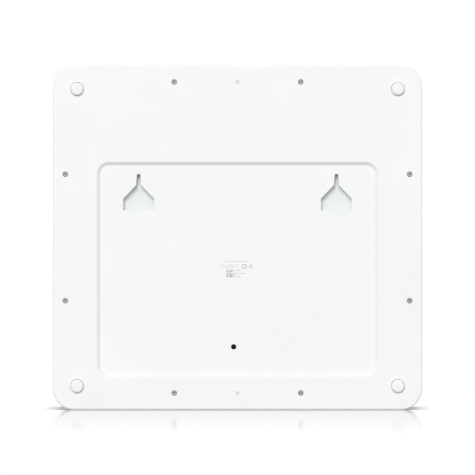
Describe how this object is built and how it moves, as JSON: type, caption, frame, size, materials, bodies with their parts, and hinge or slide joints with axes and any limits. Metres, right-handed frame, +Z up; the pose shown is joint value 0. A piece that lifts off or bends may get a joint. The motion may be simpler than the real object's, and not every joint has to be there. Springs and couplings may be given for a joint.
{
  "type": "wireless access point",
  "caption": "Flat white rectangular wireless access point with rounded corners, corner feet, a recessed rear panel, wall-hanging keyholes and a pinhole reset button.",
  "frame": {"origin": "bottom centre of the whole object's box, midway between the front face and the ends of the feet, on the edge it stands on", "axes": "+X along the width, +Z up, +Y out of the rear face with the feet and keyholes; the plain front that faces the room is on -Y"},
  "size_m": [0.24, 0.0424, 0.224],
  "materials": {
    "white_plastic": "fine matte moulded texture",
    "white_rubber": "smooth soft white silicone",
    "screw_steel": "zinc-plated satin",
    "black_plastic": "matte black",
    "board_laminate": "solder-mask satin",
    "shield_steel": "tin-plated sheet steel",
    "cast_aluminium": "as-cast satin",
    "antenna_brass": "stamped sheet",
    "pad_silicone": "soft matte",
    "clear_plastic": "clear to milky, polished",
    "lead_jacket": "smooth black jacket"
  },
  "bodies": {
    "case": {"antenna_1": "antenna_brass", "antenna_2": "antenna_brass", "antenna_3": "antenna_brass", "antenna_4": "antenna_brass", "antenna_lead_1": "lead_jacket", "antenna_lead_2": "lead_jacket", "antenna_lead_3": "lead_jacket", "antenna_lead_4": "lead_jacket", "board_screw_1": "screw_steel", "board_screw_2": "screw_steel", "board_screw_3": "screw_steel", "board_screw_4": "screw_steel", "cover_screw_1": "screw_steel", "cover_screw_2": "screw_steel", "cover_screw_3": "screw_steel", "cover_screw_4": "screw_steel", "cover_screw_5": "screw_steel", "cover_screw_6": "screw_steel", "cover_screw_7": "screw_steel", "cover_screw_8": "screw_steel", "foot_bottom_left": "white_rubber", "foot_bottom_right": "white_rubber", "foot_top_left": "white_rubber", "foot_top_right": "white_rubber", "front_housing": "white_plastic", "heat_spreader": "cast_aluminium", "keyhole_cup_left": "white_plastic", "keyhole_cup_right": "white_plastic", "lead_socket_1": "antenna_brass", "lead_socket_2": "antenna_brass", "lead_socket_3": "antenna_brass", "lead_socket_4": "antenna_brass", "light_pipe": "clear_plastic", "main_board": "board_laminate", "network_jack_powered": "shield_steel", "network_jack_second": "shield_steel", "power_jack": "black_plastic", "rear_cover": "white_plastic", "reset_dome": "shield_steel", "reset_switch": "black_plastic", "shield_can_processor": "shield_steel", "shield_can_radio": "shield_steel", "spreader_screw_1": "screw_steel", "spreader_screw_2": "screw_steel", "spreader_screw_3": "screw_steel", "spreader_screw_4": "screw_steel", "status_emitter": "clear_plastic", "thermal_pad_processor": "pad_silicone", "thermal_pad_radio": "pad_silicone"},
    "reset_plunger": {"reset_button": "black_plastic"}
  },
  "joints": [
    {"name": "reset_press", "type": "slide", "parent": "case", "child": "reset_plunger", "axis": [0, -1, 0], "range_m": [0, 0.0005], "stiffness_N_per_m": 1500, "springref_m": -0.0003}
  ]
}
